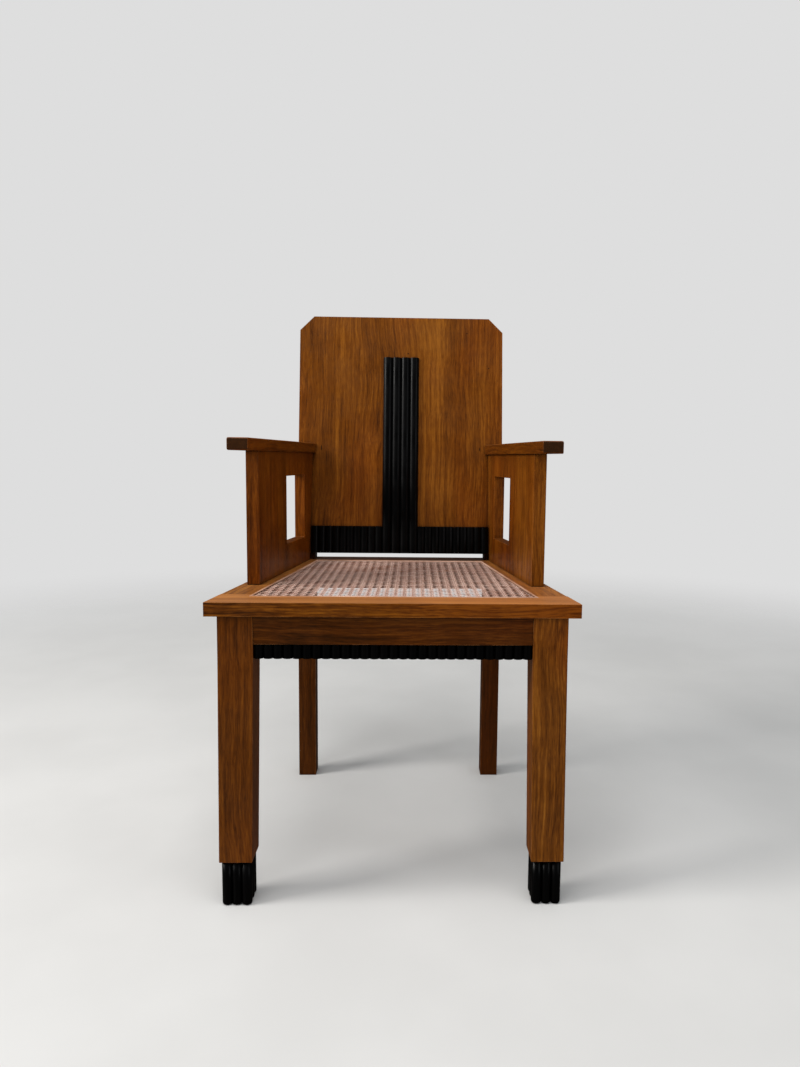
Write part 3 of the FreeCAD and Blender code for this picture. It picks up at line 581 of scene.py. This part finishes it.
class Strands:
    """Strands of cane as flat oval ribbons, which become one mesh."""

    def __init__(self, random):
        self.random = random
        self.points, self.faces = [], []
        self.tones, self.crowns, self.lengths = [], [], []

    def add(self, point, way, height, steps, width):
        """A strand through a point, with height(x, y) over the seat at each step, cut off at the edges."""
        span = clip_line(point, way)
        if span is None:
            return
        inside = [s for s in steps if span[0] + LEAST_STEP < s < span[1] - LEAST_STEP]
        t = np.array([span[0], *inside, span[1]])
        x, y = point[0] + t * way[0], point[1] + t * way[1]
        middle = np.stack([x, y, middle_z + height(x, y) + sag(x, y)], 1)
        side = np.array((-way[1], way[0], 0.0)) * width / 2
        edge = (0, 0, THICK * 0.1)
        crown = (0, 0, THICK * 0.5)
        ring = [middle + side - edge, middle + crown, middle - side - edge, middle - crown]
        start = len(self.points)
        tone, offset = self.random.random(), self.random.random() * 3
        for row in zip(*ring):
            self.points.extend(tuple(corner) for corner in row)
        self.tones.extend([tone] * (4 * len(t)))
        self.crowns.extend(SECTION_LIGHT * len(t))
        self.lengths.extend((offset + s * LENGTH_SCALE, k / 4) for s in t for k in range(4))
        for a in range(start, start + 4 * (len(t) - 1), 4):
            for k in range(4):
                b = (k + 1) % 4
                self.faces.append((a + k, a + b, a + 4 + b, a + 4 + k))
        last = start + 4 * (len(t) - 1)
        self.faces.append((start + 3, start + 2, start + 1, start))
        self.faces.append((last, last + 1, last + 2, last + 3))

    def mesh(self, name):
        """The mesh, with each strand's tone, its painted light and shade across the section, and the length
        along it for the material.
        """
        mesh = bpy.data.meshes.new(name)
        mesh.from_pydata(self.points, [], self.faces)
        mesh.attributes.new("strand", "FLOAT", "POINT").data.foreach_set("value", self.tones)
        mesh.attributes.new("crown", "FLOAT", "POINT").data.foreach_set("value", self.crowns)
        lengths = mesh.uv_layers.new(name="length")
        corner_points = np.zeros(len(mesh.loops), np.int32)
        mesh.loops.foreach_get("vertex_index", corner_points)
        lengths.data.foreach_set("uv", np.array(self.lengths)[corner_points].ravel())
        mesh.polygons.foreach_set("use_smooth", [True] * len(mesh.polygons))
        mesh.update()
        return mesh


def weave():
    """The six-way cane: pairs of strands both ways, and slanting strands over and under them."""
    strands = Strands(np.random.default_rng(7))
    rows = np.arange(-PAIRS, PAIRS + 1)
    pair_steps = np.sort(np.concatenate([rows * PITCH - PAIR, rows * PITCH + PAIR, (rows + 0.5) * PITCH]))
    for i in rows:
        for side in (-1, 1):
            from_middle = i * PITCH + side * PAIR + strands.random.normal(0, WOBBLE)

            def lengthways(x, y, side=side):
                return over_pair(y - middle_y, side)

            def crossways(x, y, side=side):
                return over_pair(x, -side)

            strands.add((from_middle, middle_y), (0.0, 1.0), lengthways, pair_steps, STRAND)
            strands.add((0.0, middle_y + from_middle), (1.0, 0.0), crossways, pair_steps, STRAND)
    slope = math.sqrt(0.5)
    slant_steps = np.arange(-8 * PAIRS, 8 * PAIRS + 1) * PITCH / 4 * math.sqrt(2)
    for i in range(-2 * PAIRS, 2 * PAIRS + 1):
        for turn in (-1, 1):

            def hop(x, y, turn=turn):
                return -turn * HOP * np.cos(2 * math.pi * x / PITCH)

            start = ((i + 0.5) * PITCH, middle_y)
            strands.add(start, (slope, turn * slope), hop, slant_steps, SLANT_STRAND)
    return strands.mesh("cane_weave")


cane_seat = add_piece(weave(), cane("split_cane"))
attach(cane_seat, "root")
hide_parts("cane_panel")


# Reeds of the feet, which run a little into each other, and the height of the domes at their ends
REED_RADIUS, REED_PITCH, DOME = 0.0075, 0.0141, 0.0042
REED_SIDES, DOME_STEPS = 28, 8
# Height over the tip of a ring on the straight part, and how much shorter the middle reed is
REED_RING, MIDDLE_SHORTER = 0.03, 0.002
# How much the reeds differ in girth, as a share, and in length
GIRTH_SPREAD, TIP_SPREAD = 0.006, 0.0004


def add_turned(centre, outline, tip, points, faces):
    """Adds a closed turned form, from its tip through the outline of (radius, height) to a flat top."""
    first = len(points)
    points.append((centre[0], centre[1], tip))
    for r, z in outline:
        for k in range(REED_SIDES):
            a = 2 * math.pi * k / REED_SIDES
            points.append((centre[0] + r * math.cos(a), centre[1] + r * math.sin(a), z))
    for k in range(REED_SIDES):
        after = (k + 1) % REED_SIDES
        faces.append((first, first + 1 + after, first + 1 + k))
        for level in range(len(outline) - 1):
            a = first + 1 + level * REED_SIDES
            faces.append((a + k, a + after, a + REED_SIDES + after, a + REED_SIDES + k))
    last = first + 1 + (len(outline) - 1) * REED_SIDES
    faces.append(tuple(last + k for k in range(REED_SIDES)))


def reed_bundle(name, node, seed):
    """Nine turned reeds with domed ends, each a little different in length and girth."""
    random = np.random.default_rng(seed)
    low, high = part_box(node)
    middle = (low + high) / 2
    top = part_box(node.replace("front_foot", "front_leg"))[0].z
    points, faces = [], []
    for i in (-1, 0, 1):
        for j in (-1, 0, 1):
            girth = REED_RADIUS * (1 + random.normal(0, GIRTH_SPREAD))
            tip = 0.0 if (i, j) != (0, 0) else MIDDLE_SHORTER
            tip += abs(random.normal(0, TIP_SPREAD)) if (i + j) % 2 else 0.0
            outline = [(girth * (1 - DOME / REED_RADIUS), tip)]
            for a in np.linspace(0, math.pi / 2, DOME_STEPS)[1:]:
                outline.append((girth - DOME + DOME * math.sin(a), tip + DOME * (1 - math.cos(a))))
            outline += [(girth, tip + REED_RING), (girth, top)]
            centre = (middle.x + i * REED_PITCH, middle.y + j * REED_PITCH)
            add_turned(centre, outline, tip, points, faces)
    mesh = bpy.data.meshes.new(name)
    mesh.from_pydata(points, [], faces)
    mesh.polygons.foreach_set("use_smooth", [len(f.vertices) < 5 for f in mesh.polygons])
    piece = add_piece(mesh, black)
    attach(piece, "root")
    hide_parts(node)


reed_bundle("foot_reeds_left", "front_foot_left", 3)
reed_bundle("foot_reeds_right", "front_foot_right", 4)


FLOOR_RINGS = [0.5, 1.0, 2.0, 4.0, 8.0, 16.0]
FLOOR_SIDES = 64
FADE_FROM, FADE_TO = 0.9, 3.4


def pale_floor(name):
    """Pale and matt, darker where the chair mirrors it, and fading out away from the chair."""
    p = Paint(name)
    speck = p.noise(p.place(), 3.0, 4.0)
    pale = p.mix(p.ease(speck, 0.3, 0.7), linear(212, 211, 209), linear(218, 217, 215))
    mirrored = p.node("LightPath").outputs["Is Glossy Ray"]
    p.set(Base_Color=p.mix(mirrored, pale, linear(66, 60, 54)), Roughness=0.75)
    away = p.node("VectorMath", {0: p.place()}, operation="LENGTH").outputs["Value"]
    clear = p.node("BsdfTransparent").outputs[0]
    fade = {0: p.ease(away, FADE_FROM, FADE_TO), 1: p.shader.outputs[0], 2: clear}
    p.put(p.out.inputs["Surface"], p.node("MixShader", fade).outputs[0])
    return p.material


def floor():
    """A pale round floor that keeps the shadow near the chair and fades into the pale surroundings."""
    points = [(0.0, 0.0, 0.0)]
    faces = []
    for r in FLOOR_RINGS:
        for k in range(FLOOR_SIDES):
            a = 2 * math.pi * k / FLOOR_SIDES
            points.append((r * math.cos(a), r * math.sin(a), 0.0))
    for k in range(FLOOR_SIDES):
        faces.append((0, 1 + k, 1 + (k + 1) % FLOOR_SIDES))
    for ring in range(len(FLOOR_RINGS) - 1):
        a = 1 + ring * FLOOR_SIDES
        b = a + FLOOR_SIDES
        for k in range(FLOOR_SIDES):
            after = (k + 1) % FLOOR_SIDES
            faces.append((a + k, b + k, b + after, a + after))
    mesh = bpy.data.meshes.new("floor")
    mesh.from_pydata(points, [], faces)
    return add_piece(mesh, pale_floor("pale_floor"))


floor()

# Surroundings: what the camera sees, the soft light from all sides, and what shows in polish
BACKGROUND = linear(222, 222, 222)
AMBIENT, AMBIENT_TINT = 0.4, (0.95, 0.98, 1.0, 1.0)
MIRRORED = 0.07
world = bpy.data.worlds.new("studio")
bpy.context.scene.world = world
world.use_nodes = True
sky = world.node_tree
sky.nodes.clear()
rays = sky.nodes.new("ShaderNodeLightPath")


def backdrop(colour, strength):
    shade = sky.nodes.new("ShaderNodeBackground")
    shade.inputs["Color"].default_value = colour
    shade.inputs["Strength"].default_value = strength
    return shade.outputs[0]


def choose(ray, otherwise, then):
    """The one shader for rays of a kind, and the other for all the rest."""
    pick = sky.nodes.new("ShaderNodeMixShader")
    sky.links.new(rays.outputs[ray], pick.inputs[0])
    sky.links.new(otherwise, pick.inputs[1])
    sky.links.new(then, pick.inputs[2])
    return pick.outputs[0]


lighting = choose("Is Glossy Ray", backdrop(AMBIENT_TINT, AMBIENT), backdrop(BACKGROUND, MIRRORED))
everything = choose("Is Camera Ray", lighting, backdrop(BACKGROUND, 1.0))
sky.links.new(everything, sky.nodes.new("ShaderNodeOutputWorld").inputs["Surface"])

# Name, place, width and height, power in watts, tint
SOFTBOXES = [
    ("key", (-3.9, -1.2, 3.0), (1.5, 1.95), 152, (1.0, 0.98, 0.95)),
    ("fill", (2.3, -1.9, 1.4), (1.0, 1.6), 8, (0.96, 0.98, 1.0)),
    ("top", (-0.2, -0.8, 2.9), (1.4, 1.4), 40, (1.0, 1.0, 1.0)),
]
AIM = Vector((0, 0, 0.5))
for name, place, size, power, tint in SOFTBOXES:
    data = bpy.data.lights.new(name, "AREA")
    data.shape = "RECTANGLE"
    data.size, data.size_y = size
    data.energy = power
    data.color = tint
    lamp = bpy.data.objects.new(name, data)
    lamp.location = place
    lamp.rotation_mode = "QUATERNION"
    lamp.rotation_quaternion = (AIM - Vector(place)).to_track_quat("-Z", "Y")
    bpy.context.scene.collection.objects.link(lamp)

# The photograph's camera: focal length and shift in its pixels, turn in degrees, place in metres
PICTURE_HEIGHT, FOCAL_PIXELS, SHIFT_PIXELS = 1067, 752, -32.7
YAW, PITCH_DOWN, ROLL = math.radians(-1.52), math.radians(5.674), math.radians(0.633)
ASIDE, BEFORE_SEAT, EYE_HEIGHT = 0.0258, 1.0374, 0.652
SENSOR = 36.0
ahead = Vector(
    (
        -math.sin(YAW) * math.cos(PITCH_DOWN),
        math.cos(YAW) * math.cos(PITCH_DOWN),
        -math.sin(PITCH_DOWN),
    )
)
right = ahead.cross(Vector((0, 0, 1))).normalized()
up = right.cross(ahead)
tilted_right = right * math.cos(ROLL) + up * math.sin(ROLL)
tilted_up = up * math.cos(ROLL) - right * math.sin(ROLL)
camera_data = bpy.data.cameras.new("camera")
camera_data.sensor_fit = "VERTICAL"
camera_data.sensor_height = SENSOR
camera_data.lens = FOCAL_PIXELS / PICTURE_HEIGHT * SENSOR
camera_data.shift_x = SHIFT_PIXELS / PICTURE_HEIGHT
camera_data.clip_start = 0.05
camera_data.clip_end = 100.0
camera = bpy.data.objects.new("camera", camera_data)
turn = Matrix((tilted_right, tilted_up, -ahead)).transposed()
camera.matrix_world = Matrix.Translation((ASIDE, front - BEFORE_SEAT, EYE_HEIGHT)) @ turn.to_4x4()
bpy.context.scene.collection.objects.link(camera)
bpy.context.scene.camera = camera
bpy.context.scene.view_settings.view_transform = "Standard"
